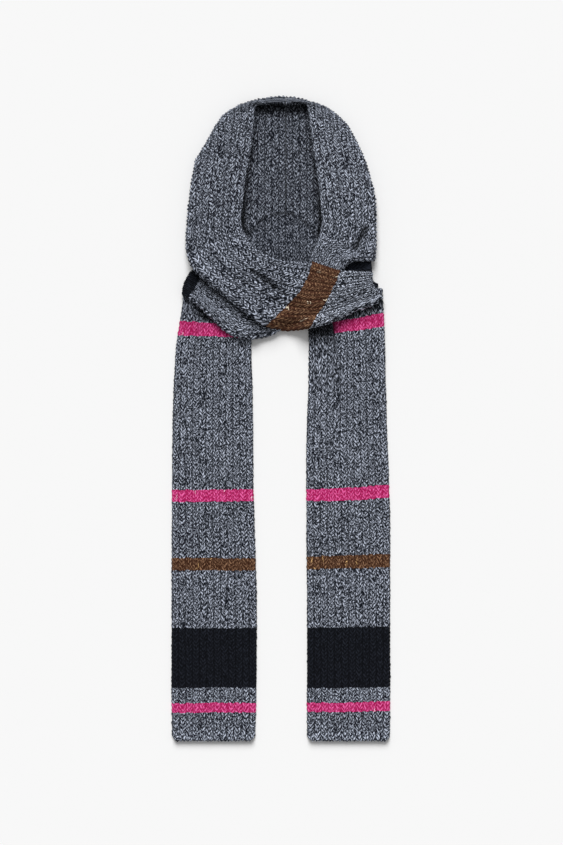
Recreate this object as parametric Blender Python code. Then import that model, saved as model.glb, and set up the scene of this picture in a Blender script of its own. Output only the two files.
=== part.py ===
"""Hooded scarf in chunky rib knit, laid flat on its back with the scarf wound once round the neck.

Frame: +X to the right of the laid scarf, +Y from the hems to the crown, +Z up from the surface.
The origin is the centre of the laid outline, on the surface. Tables and sizes are in millimetres.
"""
import math

import bmesh
import bpy
import numpy as np
from mathutils import Vector
from mathutils.bvhtree import BVHTree

NAME = "hooded_scarf"
MM = 0.001
MERGE = 0.00001         # metres

# Cloth: one knitted wall, with ribs raised on the side that shows.
WALL = 3.4
HALF_WALL = WALL / 2
RIB_PITCH = 7.4
RIB_HEIGHT = 1.2
RIB_FADE = 7.0          # a rib sinks back into the wall over this length before a fold
FULL_RIB_SLOPE = 0.6    # upward share of the cloth's normal from which a rib has its whole height
HALF_RIB = RIB_PITCH / 2
GAP = 0.3               # between pieces that meet edge to edge
CLEAR = 0.5             # under a piece that lies on another

# Hood: its two halves meet in the centre-back seam.
SEAM_X = 9.0
HOOD_ROWS = 25
INSIDE_RIBS_TO = 88.8   # from the seam out, and past that the panel hides them
PANEL_INSIDE_STEPS = 4  # points across each part of the half that has no ribs
OUTER_TURN_STEPS = 7
INNER_TURN_STEPS = 5
BACK_OUTSIDE_STEPS = 3
COVERED_SHARES = (0.35, 0.7)
HOOD_COLUMNS = ("seam_y", "fold_x", "fold_y", "edge_x", "edge_y", "radius", "edge_z", "bulge")
HOOD_LEFT = (
    (310, -177, 310, -69, 347, 9.5, 20.0, 1.0),
    (338, -176, 339, -73, 366, 9.8, 19.5, 1.5),
    (367, -174, 371, -70, 397, 9.5, 18.5, 2.0),
    (397, -171, 403, -67, 423, 9.2, 18.0, 2.0),
    (426, -167, 436, -64, 449, 9.0, 18.0, 2.0),
    (454, -163, 467, -59, 475, 9.0, 18.0, 1.5),
    (478, -154, 489, -54, 499, 9.0, 18.5, 1.5),
    (500, -138, 516, -51, 521, 9.0, 19.0, 1.0),
    (519, -120, 541, -49, 545, 9.5, 20.0, 0.5),
    (536, -103, 563, -48, 565, 9.5, 20.5, 0.0),
    (549, -77, 580, -46, 576, 9.5, 21.0, 0.0),
    (556, -52, 588.5, -38, 580, 9.0, 21.5, 0.0),
    (561, -22, 593.3, -19, 582, 8.5, 21.0, 0.0),
    (565, 9, 595.3, 9, 583, 8.5, 21.0, 0.0),
)
HOOD_RIGHT = (
    (310, 176, 291, 72, 347, 9.5, 20.0, 1.0),
    (338, 178, 325, 75, 366, 9.8, 19.5, 1.5),
    (367, 178, 357, 73, 388, 9.5, 18.5, 2.0),
    (397, 177, 390, 71, 412, 9.2, 18.0, 2.0),
    (426, 173, 422, 68, 436, 9.0, 18.0, 2.0),
    (454, 165, 452, 64, 463, 9.0, 18.0, 1.5),
    (478, 156, 483, 60, 489, 9.0, 18.5, 1.5),
    (500, 143, 512, 56, 516, 9.0, 19.0, 1.0),
    (519, 127, 542, 52, 545, 9.5, 20.0, 0.5),
    (536, 104, 565, 50, 565, 9.5, 20.5, 0.0),
    (549, 78, 580, 49, 577, 9.5, 21.0, 0.0),
    (556, 56, 587, 44, 581, 9.0, 21.5, 0.0),
    (561, 33, 592, 29, 582, 8.5, 21.0, 0.0),
    (565, 9, 595.3, 9, 583, 8.5, 21.0, 0.0),
)

# Stretches wound round the neck: a row for each knitted row followed across the cloth, from the inner
# edge over the middle to the outer fold. tuck is what turns under there, turn how many degrees it
# swings from straight back, and base its least height.
WRAP_COLUMNS = (
    "inner_x", "inner_y", "middle_x", "middle_y", "outer_x", "outer_y",
    "radius", "edge_z", "bulge", "tuck", "turn", "base",
)
WRAP_OVER_ROWS = 20
WRAP_OVER = (
    (-69.3, 346.0, -123, 327.4, -176.6, 308.9, 9.5, 20.0, 1, 26, -18.7, 1.7),
    (-57, 325, -105, 303, -163, 279, 8.5, 23.0, 2, 24, -14, 1.7),
    (-37, 307, -83, 278, -137, 253, 7.0, 25.0, 3, 22, -8, 1.7),
    (-9, 295, -56, 258, -109, 232, 6.0, 25.0, 3, 20, 0, 1.7),
    (17, 290, -28, 241, -81, 210, 5.5, 25.0, 3, 20, 0, 1.7),
    (39, 289, 0, 230, -56, 190, 5.5, 25.0, 3, 20, 0, 1.7),
    (57, 288, 31, 231, -26, 175, 5.5, 25.0, 3, 20, 0, 1.7),
    (81, 280, 56, 226, 11, 164, 5.5, 25.0, 3, 20, 0, 1.7),
    (107, 272, 87, 228, 51, 169, 5.5, 25.0, 3, 20, 0, 1.7),
    (131, 271, 111, 231, 81, 175, 5.5, 25.0, 3, 18, 0, 1.7),
    (153, 270, 134, 236, 113, 187, 5.5, 25.0, 3, 16, 0, 1.7),
    (168, 267, 158, 238, 143, 202, 5.5, 23.0, 3, 12, 0, 2.0),
    (177, 259, 178, 240, 172, 210, 4.5, 17.0, 2, 9, 0, 3.0),
    (180, 252, 187, 238, 191, 222, 3.0, 10.0, 0, 6, 0, 3.0),
)
WRAP_UNDER_ROWS = 19
WRAP_UNDER = (
    (72.2, 346.0, 123.8, 317.9, 175.6, 290.0, 9.5, 20.0, 1, 26, 21.7, 1.7),
    (69, 333, 110, 311, 151, 289.5, 7.5, 21.0, 1, 22, 18, 1.7),
    (63, 319, 92, 302, 122, 286, 5.5, 21.0, 1, 20, 12, 1.7),
    (53, 296, 77, 276, 104, 256, 5.0, 20.0, 1, 18, 0, 1.7),
    (40, 258, 56, 235, 78, 206, 4.5, 16.0, 1, 16, 0, 1.7),
    (22, 238, 29, 206, 39, 175, 4.0, 12.0, 1, 16, 0, 1.7),
    (-6, 232, -5, 195, -4, 158, 4.0, 11.0, 1, 16, 0, 1.7),
    (-30, 232, -33, 191, -36, 151, 4.0, 11.0, 1, 16, 0, 1.7),
    (-56, 234, -60, 193, -64, 151, 4.0, 11.0, 1, 16, 0, 1.7),
    (-82, 238, -88, 200, -94, 160, 4.0, 12.0, 1, 16, 0, 1.7),
    (-106, 246, -114, 216, -124, 187, 4.0, 12.0, 1, 16, 0, 1.7),
    (-128, 258, -138, 234, -150, 209, 4.0, 12.0, 2, 14, 0, 1.7),
    (-145, 269, -157, 246, -170, 221, 4.0, 10.0, 2, 10, 0, 1.7),
    (-156, 277, -172, 262, -183, 232, 3.0, 8.0, 1, 6, 0, 1.7),
)

# Neck piece, with an arched top, between the hood's halves.
NECK_ROWS = 11
NECK_COLUMNS = ("y", "left_x", "right_x", "least_z")
NECK = (
    (378.5, -14, 18, 5.0),
    (375, -24, 28, 5.0),
    (365, -37, 41, 5.6),
    (351, -49, 53, 7.5),
    (337, -60, 64, 11.0),
    (323, -69, 73, 15.5),
    (310, -73, 77, 18.6),
    (290, -73, 77, 18.8),
    (268, -70, 74, 18.6),
    (254, -66, 70, 16.0),
)

NECK_TUCKED_FROM = 310  # above this y the piece lies inside the hood, under its panels
NECK_CEILING = 14.0     # which are no lower than this
NECK_REACH = 3.0        # how far around each point the cloth beneath is felt
NECK_PLAIN = 4          # its underside has a point for each fourth on top

# Layers hidden behind the neck: one rounded solid, its edges in steps of a folded layer each.
CORE_COLUMNS = ("x", "low_y", "high_y", "height")
CORE = (
    (-112, 255, 292, 7.0),
    (-106, 247, 301, 12.0),
    (-95, 242.0, 307, 16.0),
    (-70, 241.5, 309.5, 17.5),
    (-30, 241.5, 309.5, 18.0),
    (9, 241.5, 309.5, 18.0),
    (50, 241.5, 304.8, 18.0),
    (90, 241.5, 300.4, 18.0),
    (130, 241.5, 292.0, 18.0),
    (150, 241.5, 286.0, 17.5),
    (168, 242.5, 283.0, 16.0),
    (177, 247, 279, 12.5),
    (182, 253, 273, 8.0),
)
CORE_SHOULDER = 10.0    # from the edge in to where its top is level
CORE_ROWS = 15
CORE_RIB_STEPS = 12
CORE_REST_INSET = 3.5   # from the edge in to where it rests
CORE_NOMINAL_HEIGHT = 18.0
CORE_LAYERS = ((CORE_REST_INSET, 0.0), (0.4, 3.0), (2.6, 6.0), (0.8, 9.0), (3.4, 12.0))  # inset and height there

# Tails, from under the crossing to the hems.
TAIL_TOP = 241.2
HEM = -597.0
HEM_CORNER = 5.0
TAIL_COLUMNS = ("y", "left_x", "right_x")
TAIL_LEFT = (
    (TAIL_TOP, -179, -54),
    (210, -183, -54),
    (182, -187, -54),
    (129, -195, -54),
    (56, -199, -51),
    (-31, -201.5, -50),
    (-132, -203, -50),
    (-206, -203, -48),
    (-336, -203, -45),
    (-484, -203, -45),
    (-567, -202, -47.5),
    (HEM + HEM_CORNER, -201.5, -49),
    (HEM, -201.5 + HEM_CORNER, -49 - HEM_CORNER),
)
TAIL_RIGHT = (
    (TAIL_TOP, 50, 187),
    (210, 50, 189),
    (182, 50, 191),
    (129, 52, 194),
    (56, 51, 195.5),
    (-16, 48, 197.5),
    (-88, 46.5, 200.5),
    (-206, 46.5, 203),
    (-336, 48, 203),
    (-484, 48.5, 203),
    (-567, 48, 203),
    (HEM + HEM_CORNER, 49, 202),
    (HEM, 49 + HEM_CORNER, 202 - HEM_CORNER),
)
TAIL_RIBS = 21
TAIL_ROWS = 15
TAIL_EDGE_DROP = 1.6
# A pleat at the top of the right tail, and a shallow one on the left: the cloth beside the line is doubled.
PLEAT_COLUMNS = ("y", "x", "rise")
PLEAT_RIGHT = ((245, 96, 4.2), (190, 96, 4.2), (154, 97, 3.6), (127, 102, 2.6), (90, 109, 1.6), (34, 118, 0.0))
PLEAT_LEFT = ((245, -150, 2.2), (182, -151, 2.0), (140, -150, 1.2), (80, -148, 0.0), (34, -148, 0.0))
PLEAT_STEP = 5.0

# Creases pressed into the panels and the upper stretch: a soft trough along each line.
CREASE_COLUMNS = ("x0", "y0", "x1", "y1", "width", "depth")
CREASES_RIGHT = ((73, 304, 95, 339, 7, 3.0), (133, 308, 153, 339, 8, 2.5))
CREASES_OVER = ((-46, 268, 2, 239, 8, 3.4), (50, 281, 80, 205, 12, 0.8))

# Draping: a stretch is lifted in this many places across, spread evenly in this many passes.
ACROSS = 33
ROWS_BETWEEN = 4
DRAPE_PASSES = 10
PLAIN_STEP = 3          # the inside has a point for each third outside
AROUND = ((0, 0), (3, 0), (-3, 0), (0, 3), (0, -3))
PLAN_POINTS = 61        # along the curve across a sheet, seen from above
FRONT_POINTS = 33       # of a section's centre line, before the half circle
TURN_POINTS = 14        # round the half circle
BACK_POINTS = 8         # along what is tucked under
SKY = 200.0             # above everything
NO_SUPPORT = 0.0

COLOURS = {
    "hood_left": (0.087, 0.098, 0.127),
    "hood_right": (0.095, 0.107, 0.138),
    "neck_back": (0.072, 0.084, 0.107),
    "wrap_over": (0.110, 0.086, 0.072),
    "wrap_under": (0.080, 0.088, 0.110),
    "wrap_behind": (0.009, 0.010, 0.014),
    "left_tail": (0.104, 0.112, 0.137),
    "right_tail": (0.108, 0.117, 0.144),
}
KNIT_ROUGHNESS = 0.95
SHARP_ANGLE = 25        # so that the ribs show as ribs


def clear_scene():
    for obj in list(bpy.data.objects):
        bpy.data.objects.remove(obj, do_unlink=True)


def spline_rows(names, table, count):
    """The table's rows followed by a smooth curve, at an even spacing: a dict of one array per column."""
    rows = np.array(table, dtype=float)
    padded = np.vstack((2 * rows[0] - rows[1], rows, 2 * rows[-1] - rows[-2]))
    places = np.linspace(0, len(rows) - 1, count)
    first = np.minimum(places.astype(int), len(rows) - 2)
    t = (places - first)[:, None]
    p0, p1, p2, p3 = (padded[first + k] for k in range(4))
    curve = 0.5 * (
        2 * p1 + (p2 - p0) * t + (2 * p0 - 5 * p1 + 4 * p2 - p3) * t**2 + (3 * p1 - p0 - 3 * p2 + p3) * t**3
    )
    return {name: curve[:, k] for k, name in enumerate(names)}


def fold_section(inner, middle, outer, seam, row):
    """Centre line across a sheet that turns under at its outer fold.

    It runs from the front edge at inner over middle to the fold at outer, round a half circle and back
    towards seam. It gives points, the normals of the side that shows, and the length so far.
    """
    control = 2 * middle - (inner + outer) / 2
    t = np.linspace(0, 1, PLAN_POINTS)[:, None]
    plan = (1 - t) ** 2 * inner + 2 * t * (1 - t) * control + t**2 * outer
    along = np.concatenate(([0], np.cumsum(np.linalg.norm(np.diff(plan, axis=0), axis=1))))
    width = along[-1]
    radius = row["radius"]
    top = row["base"] + 2 * radius
    flat = width - radius
    out_front = plan[-1] - plan[-2]
    out_front /= np.linalg.norm(out_front)
    out_back = outer - seam
    back_length = np.linalg.norm(out_back)
    out_back /= back_length

    share = np.linspace(0, 1, FRONT_POINTS)
    across = share * flat
    heights = row["edge_z"] + (top - row["edge_z"]) * (1 - (1 - share) ** 2)
    heights = heights + row["bulge"] * np.sin(math.pi * share) ** 2
    turn = np.linspace(90, -90, TURN_POINTS + 1)[1:]
    across = np.concatenate((across, flat + radius * np.cos(np.radians(turn))))
    heights = np.concatenate((heights, row["base"] + radius + radius * np.sin(np.radians(turn))))
    back = min(row["tuck"], back_length)
    steps = np.linspace(0, 1, BACK_POINTS + 1)[1:]
    across = np.concatenate((across, flat - steps * (back - radius)))
    heights = np.concatenate((heights, np.full(len(steps), row["base"])))

    equator = FRONT_POINTS + TURN_POINTS // 2 - 1
    points = np.zeros((len(across), 3))
    normals = np.zeros((len(across), 3))
    rise = np.gradient(heights)
    run = np.gradient(across)
    scale = np.hypot(rise, run)
    for k, (a, z) in enumerate(zip(across, heights)):
        on_front = k <= equator
        direction = out_front if on_front else out_back
        if k < FRONT_POINTS:
            place = np.array([np.interp(a, along, plan[:, 0]), np.interp(a, along, plan[:, 1])])
            ahead = np.array([np.interp(a + 1, along, plan[:, 0]), np.interp(a + 1, along, plan[:, 1])])
            behind = np.array([np.interp(a - 1, along, plan[:, 0]), np.interp(a - 1, along, plan[:, 1])])
            direction = (ahead - behind) / np.linalg.norm(ahead - behind)
        else:
            place = outer + direction * (a - width)
        points[k] = (*place, z)
        normals[k] = (*(direction * -rise[k] / scale[k]), run[k] / scale[k])
    lengths = np.concatenate(([0], np.cumsum(np.hypot(np.diff(across), np.diff(heights)))))
    return points, normals, lengths, across / width


def sample(section, distances):
    """Points and normals of a section at distances from its front edge, stopped at its end."""
    points, normals, lengths = section[:3]
    at = np.clip(distances, 0, lengths[-1])
    place = np.stack([np.interp(at, lengths, points[:, k]) for k in range(3)], axis=1)
    normal = np.stack([np.interp(at, lengths, normals[:, k]) for k in range(3)], axis=1)
    return place, normal / np.linalg.norm(normal, axis=1)[:, None]


def crest(count):
    """1 on a rib's crest and 0 in the valley beside it, turn about."""
    return (np.arange(count) + 1) % 2


def rib_share(facing_up):
    """How much of a rib's height shows: all of it on top, none where the cloth stands upright."""
    return np.clip(facing_up / FULL_RIB_SLOPE, 0, 1)


def trough(creases, x, y):
    """How deep the creases lie at x, y."""
    depth = np.zeros_like(x)
    for x0, y0, x1, y1, width, deep in creases:
        line = np.array((x1 - x0, y1 - y0), dtype=float)
        t = ((x - x0) * line[0] + (y - y0) * line[1]) / (line @ line)
        off = np.hypot(x - x0 - np.clip(t, 0, 1) * line[0], y - y0 - np.clip(t, 0, 1) * line[1])
        depth = depth + deep * np.exp(-((off / width) ** 2))
    return depth


def press(points, normals, creases):
    """Push the points whose side shows down into the creases."""
    shows = np.clip(normals[:, 2], 0, 1)
    pressed = points.copy()
    pressed[:, 2] -= shows * trough(creases, points[:, 0], points[:, 1])
    return pressed


def wall_object(name, outer, inner):
    """Closed wall between two grids of points, whose rows run across the cloth the same way."""
    bm = bmesh.new()
    skins = []
    for grid in (outer, inner):
        skins.append([[bm.verts.new(Vector(p) * MM) for p in row] for row in grid])
    top, under = skins
    rows = len(top)
    for skin in skins:
        for r in range(rows - 1):
            for c in range(len(skin[r]) - 1):
                bm.faces.new((skin[r][c], skin[r][c + 1], skin[r + 1][c + 1], skin[r + 1][c]))
    for side in (0, -1):
        for r in range(rows - 1):
            bm.faces.new((top[r][side], top[r + 1][side], under[r + 1][side], under[r][side]))
    for end in (0, -1):
        ladder(bm, top[end], under[end])
    bmesh.ops.remove_doubles(bm, verts=bm.verts, dist=MERGE)
    bmesh.ops.triangulate(bm, faces=bm.faces)
    bmesh.ops.recalc_face_normals(bm, faces=bm.faces)
    return bmesh_object(name, bm)


def ladder(bm, rail, other):
    """Triangles between two rows of vertices, each rung to the nearer next vertex by share of length."""
    def shares(verts):
        steps = [0.0]
        for a, b in zip(verts, verts[1:]):
            steps.append(steps[-1] + (b.co - a.co).length)
        return [s / steps[-1] for s in steps]

    rail_share = shares(rail)
    other_share = shares(other)
    i = j = 0
    while i < len(rail) - 1 or j < len(other) - 1:
        if j == len(other) - 1 or (i < len(rail) - 1 and rail_share[i + 1] <= other_share[j + 1]):
            bm.faces.new((rail[i], rail[i + 1], other[j]))
            i += 1
        else:
            bm.faces.new((rail[i], other[j + 1], other[j]))
            j += 1


def bmesh_object(name, bm):
    mesh = bpy.data.meshes.new(name)
    bm.to_mesh(mesh)
    bm.free()
    mesh.materials.append(knit(name))
    obj = bpy.data.objects.new(name, mesh)
    collection.objects.link(obj)
    mesh.shade_smooth()
    mesh.set_sharp_from_angle(angle=math.radians(SHARP_ANGLE))
    return obj


def knit(name):
    material = bpy.data.materials.new("knit_" + name)
    material.use_nodes = True
    shader = material.node_tree.nodes["Principled BSDF"]
    shader.inputs["Base Color"].default_value = (*COLOURS[name], 1)
    shader.inputs["Roughness"].default_value = KNIT_ROUGHNESS
    shader.inputs["Metallic"].default_value = 0.0
    return material


def hood_half(name, table, side, creases=()):
    """One half: back sheet on the surface, round the fold at the outline, and panel to the front edge.

    Ribs run beside the front edge on the panel, and each ends at the fold. Inside they run beside the seam.
    """
    rows = spline_rows(HOOD_COLUMNS, table, HOOD_ROWS)
    seam_x = SEAM_X + side * GAP / 2
    sections = []
    for k in range(HOOD_ROWS):
        row = {key: values[k] for key, values in rows.items()}
        row["base"] = HALF_WALL
        seam = np.array((seam_x, row["seam_y"]))
        row["tuck"] = math.inf
        outer = np.array((row["fold_x"], row["fold_y"]))
        inner = np.array((row["edge_x"], row["edge_y"]))
        if k == HOOD_ROWS - 1:
            outer[0] = seam_x
            inner[0] = seam_x
        sections.append(fold_section(inner, (inner + outer) / 2, outer, seam, row))
    panel = np.arange(0, max(section[2][FRONT_POINTS - 1] for section in sections) + HALF_RIB, HALF_RIB)
    inside = np.arange(INSIDE_RIBS_TO, -HALF_RIB / 2, -HALF_RIB)
    outer_grid = []
    inner_grid = []
    for section in sections:
        lengths = section[2]
        bend = lengths[FRONT_POINTS - 1]
        floor = lengths[FRONT_POINTS - 1 + TURN_POINTS]
        end = lengths[-1]
        turn = bend + (floor - bend) * np.linspace(0, 1, OUTER_TURN_STEPS + 1)[1:]
        sheet = floor + (end - floor) * np.linspace(0, 1, BACK_OUTSIDE_STEPS + 1)[1:]
        at = np.concatenate((np.minimum(panel, bend), turn, sheet))
        points, normals = sample(section, at)
        points = press(points, normals, creases)
        rib = np.zeros(len(at))
        rib[:len(panel)] = RIB_HEIGHT * crest(len(panel)) * np.clip((bend - panel) / RIB_FADE, 0, 1)
        outer_grid.append(points + normals * (HALF_WALL + rib)[:, None])

        panel_under = bend * np.linspace(0, 1, PANEL_INSIDE_STEPS + 1)
        turn = bend + (floor - bend) * np.linspace(0, 1, INNER_TURN_STEPS + 1)[1:]
        covered = floor + (end - INSIDE_RIBS_TO - floor) * np.array(COVERED_SHARES)
        at = np.concatenate((panel_under, turn, np.maximum(covered, floor), np.maximum(end - inside, floor)))
        points, normals = sample(section, at)
        points = press(points, normals, creases)
        rib = np.zeros(len(at))
        room = np.clip((end - inside - floor) / RIB_FADE, 0, 1)
        rib[-len(inside):] = RIB_HEIGHT * (1 - crest(len(inside))[::-1]) * room
        inner_grid.append(points - normals * (HALF_WALL + rib)[:, None])
    return wall_object(name, outer_grid, inner_grid)


def support_tree(objects):
    trees = []
    for obj in objects:
        mesh = obj.data
        verts = [v.co / MM for v in mesh.vertices]
        trees.append(BVHTree.FromPolygons(verts, [tuple(p.vertices) for p in mesh.polygons]))
    return trees


def support_height(trees, x, y, ceiling=SKY):
    """Height of the highest support under x, y, seen from the ceiling."""
    height = NO_SUPPORT
    for tree in trees:
        hit = tree.ray_cast(Vector((x, y, ceiling)), Vector((0, 0, -1)))[0]
        if hit is not None:
            height = max(height, hit.z)
    return height


def wrap_section(row):
    inner = np.array((row["inner_x"], row["inner_y"]))
    middle = np.array((row["middle_x"], row["middle_y"]))
    outer = np.array((row["outer_x"], row["outer_y"]))
    ahead = outer - middle * 2 + (inner + outer) / 2
    angle = math.atan2(-ahead[1], -ahead[0]) + math.radians(row["turn"])
    seam = outer + (row["tuck"] + 1) * np.array((math.cos(angle), math.sin(angle)))
    return fold_section(inner, middle, outer, seam, row)


def drape(table, count, trees, creases):
    """How far each part of a stretch is lifted to lie on what is under it, by row and share across.

    The need is found on rows between the stretch's own too, and each takes the most near it.
    """
    fine = (count - 1) * ROWS_BETWEEN + 1
    rows = spline_rows(WRAP_COLUMNS, table, fine)
    found = np.zeros((fine, ACROSS))
    for k in range(1, fine):
        points, normals, _, across = wrap_section({key: values[k] for key, values in rows.items()})
        front = np.arange(len(points)) <= FRONT_POINTS
        skin = np.where(front[:, None], -normals, normals)
        low = points + skin * HALF_WALL
        low[:, 2] -= trough(creases, low[:, 0], low[:, 1]) * front
        for (x, y, z), share in zip(low, across):
            top = max(support_height(trees, x + dx, y + dy) for dx, dy in AROUND)
            place = min(ACROSS - 1, max(0, round(share * (ACROSS - 1))))
            found[k, place] = max(found[k, place], top + CLEAR - z)
    wide = np.pad(found, 1, mode="edge")
    found = np.maximum(np.maximum(wide[1:-1, :-2], wide[1:-1, 2:]), found)
    needed = np.zeros((count, ACROSS))
    for k in range(1, count):
        first = (k - 1) * ROWS_BETWEEN
        needed[k] = found[first:first + 2 * ROWS_BETWEEN + 1].max(axis=0)
    lifts = needed
    for _ in range(DRAPE_PASSES):
        padded = np.pad(lifts, 1, mode="edge")
        lifts = (padded[:-2, 1:-1] + 2 * padded[1:-1, 1:-1] + padded[2:, 1:-1]) / 4
        padded = np.pad(lifts, 1, mode="edge")
        lifts = (padded[1:-1, :-2] + 2 * padded[1:-1, 1:-1] + padded[1:-1, 2:]) / 4
        lifts = np.maximum(lifts, needed)
        lifts[0] = 0
    return lifts


def wrap(name, table, count, supports, creases=()):
    """A stretch of the scarf round the neck, laid over what is under it."""
    rows = spline_rows(WRAP_COLUMNS, table, count)
    sections = [wrap_section({key: values[k] for key, values in rows.items()}) for k in range(count)]
    lifts = drape(table, count, support_tree(supports), creases)
    bins = np.linspace(0, 1, ACROSS)
    for (points, _, _, across), lift in zip(sections, lifts):
        points[:, 2] += np.interp(across, bins, lift)

    widest = max(section[2][-1] for section in sections)
    columns = 2 * round(widest / RIB_PITCH)
    share = np.linspace(0, 1, columns + 1)
    plain = np.linspace(0, 1, columns // PLAIN_STEP + 1)
    outer_grid = []
    inner_grid = []
    for section in sections:
        end = section[2][-1]
        points, normals = sample(section, share * end)
        points = press(points, normals, creases)
        rib = RIB_HEIGHT * crest(columns + 1) * rib_share(normals[:, 2])
        outer_grid.append(points + normals * (HALF_WALL + rib)[:, None])
        points, normals = sample(section, plain * end)
        points = press(points, normals, creases)
        inner_grid.append(points - normals * HALF_WALL)
    return wall_object(name, outer_grid, inner_grid)


def neck_piece(supports):
    rows = spline_rows(NECK_COLUMNS, NECK, NECK_ROWS)
    trees = support_tree(supports)
    left = min(rows["left_x"])
    right = max(rows["right_x"])
    columns = 2 * round((right - left) / RIB_PITCH)
    fine = np.linspace(left, right, columns + 1)
    plain = fine[::NECK_PLAIN]
    outer_grid = []
    inner_grid = []
    for k in range(NECK_ROWS):
        y = rows["y"][k]
        ceiling = NECK_CEILING if y > NECK_TUCKED_FROM else SKY
        span = (rows["left_x"][k], rows["right_x"][k])
        x = np.clip(fine, *span)
        under = [support_height(trees, px, py, ceiling) + CLEAR for px in x for py in (y - NECK_REACH, y, y + NECK_REACH)]
        floor = max(rows["least_z"][k], max(under))
        inside = (fine > span[0]) & (fine < span[1])
        rib = RIB_HEIGHT * crest(columns + 1) * inside
        outer_grid.append(np.stack((x, np.full_like(x, y), floor + WALL + rib), axis=1))
        x = np.clip(plain, *span)
        inner_grid.append(np.stack((x, np.full_like(x, y), np.full_like(x, floor)), axis=1))
    return wall_object("neck_back", outer_grid, inner_grid)


def core():
    """The layers behind the neck, as rings across a rounded heap."""
    rows = spline_rows(CORE_COLUMNS, CORE, CORE_ROWS)
    top_grid = []
    under_grid = []
    for k in range(CORE_ROWS):
        x = rows["x"][k]
        low = rows["low_y"][k]
        high = rows["high_y"][k]
        size = rows["height"][k] / CORE_NOMINAL_HEIGHT
        rest = CORE_REST_INSET * size
        shoulder = min(CORE_SHOULDER, (high - low) / 3)
        inner_low = low + shoulder
        inner_high = high - shoulder
        ring = [(low + inset * size, z * size) for inset, z in CORE_LAYERS]
        level = np.linspace(inner_low, inner_high, CORE_RIB_STEPS + 1)
        for n, y in enumerate(level):
            ring.append((y, rows["height"][k] - WALL / 2 + RIB_HEIGHT * (n % 2)))
        ring += [(high - inset * size, z * size) for inset, z in reversed(CORE_LAYERS)]
        top_grid.append([(x, y, z) for y, z in ring])
        under_grid.append([(x, y, 0.0) for y in (low + rest, (low + high) / 2, high - rest)])
    return wall_object("wrap_behind", top_grid, under_grid)


def tail(name, table, pleat):
    """A hanging end, flat on the surface, doubled beside the pleat at its top."""
    rows = spline_rows(TAIL_COLUMNS, table[:-2], TAIL_ROWS)
    for key, column in zip(TAIL_COLUMNS, range(3)):
        rows[key] = np.concatenate((rows[key][:-1], [row[column] for row in table[-2:]]))
    pleat = np.array(pleat)
    columns = 2 * TAIL_RIBS
    share = np.linspace(0, 1, columns + 1)
    top_grid = []
    under_grid = []
    for y, left, right in zip(rows["y"], rows["left_x"], rows["right_x"]):
        x = left + (right - left) * share
        line = np.interp(-y, -pleat[:, 0], pleat[:, 1])
        rise = np.interp(-y, -pleat[:, 0], pleat[:, 2])
        step = np.clip((x - line) / PLEAT_STEP, 0, 1)
        z = WALL + RIB_HEIGHT * crest(columns + 1) + rise * step
        z[0] -= TAIL_EDGE_DROP
        z[-1] -= TAIL_EDGE_DROP
        top_grid.append(np.stack((x, np.full_like(x, y), z), axis=1))
        under_grid.append([(left + (right - left) * s, y, 0.0) for s in (0, 0.5, 1)])
    return wall_object(name, top_grid, under_grid)


def build():
    left = hood_half("hood_left", HOOD_LEFT, -1)
    right = hood_half("hood_right", HOOD_RIGHT, 1, CREASES_RIGHT)
    behind = core()
    neck = neck_piece([left, right, behind])
    left_tail = tail("left_tail", TAIL_LEFT, PLEAT_LEFT)
    right_tail = tail("right_tail", TAIL_RIGHT, PLEAT_RIGHT)
    below = [behind, neck, left_tail, right_tail]
    under = wrap("wrap_under", WRAP_UNDER, WRAP_UNDER_ROWS, below)
    wrap("wrap_over", WRAP_OVER, WRAP_OVER_ROWS, below + [under], CREASES_OVER)


clear_scene()
collection = bpy.data.collections.new(NAME)
bpy.context.scene.collection.children.link(collection)
build()
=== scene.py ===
import math

import bmesh
import bpy
import numpy as np
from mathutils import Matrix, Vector
from mathutils.bvhtree import BVHTree


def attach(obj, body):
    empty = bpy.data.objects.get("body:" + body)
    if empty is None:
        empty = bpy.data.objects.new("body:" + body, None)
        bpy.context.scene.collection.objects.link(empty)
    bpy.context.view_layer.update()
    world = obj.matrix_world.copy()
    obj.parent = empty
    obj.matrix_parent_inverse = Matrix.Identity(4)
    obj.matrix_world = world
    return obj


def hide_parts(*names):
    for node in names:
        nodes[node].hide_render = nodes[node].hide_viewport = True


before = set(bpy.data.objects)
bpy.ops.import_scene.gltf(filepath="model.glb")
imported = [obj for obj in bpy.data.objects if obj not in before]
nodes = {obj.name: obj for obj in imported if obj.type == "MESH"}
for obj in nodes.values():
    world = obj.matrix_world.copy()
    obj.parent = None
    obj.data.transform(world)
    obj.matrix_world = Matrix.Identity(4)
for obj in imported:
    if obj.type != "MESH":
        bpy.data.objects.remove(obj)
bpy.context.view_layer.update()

MM = 0.001

# The knit: columns of V stitches with valleys between, in millimetres.
WALE = 13.0
COURSE = 7.7
WALL = 3.4
HALF_WALL = WALL / 2
RIB = 1.8
STITCH = 0.9
SLOPE = 1.1             # how far up a stitch's leg leans across half a column, in courses
SHIFT = 0.3             # how far neighbouring columns are out of step, in courses
SHIFT_TURN = 2.4        # radians from one column to the next in that
FINE = 1.25             # spacing of the points that draw it, across
COARSE = 3.6            # the same where other cloth covers it
HOOD_ROW = 1.45         # spacing of the rows of points along the hood
ROW = 1.6               # and along the stretches and the tails
FLOOR_GAP = 0.05        # the lowest point of any cloth over the floor
KNOB = 2.8              # how far the stitches stand out of an outline
HOOD_COURSE = 70        # the course at which the hood goes over into the scarf

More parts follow.
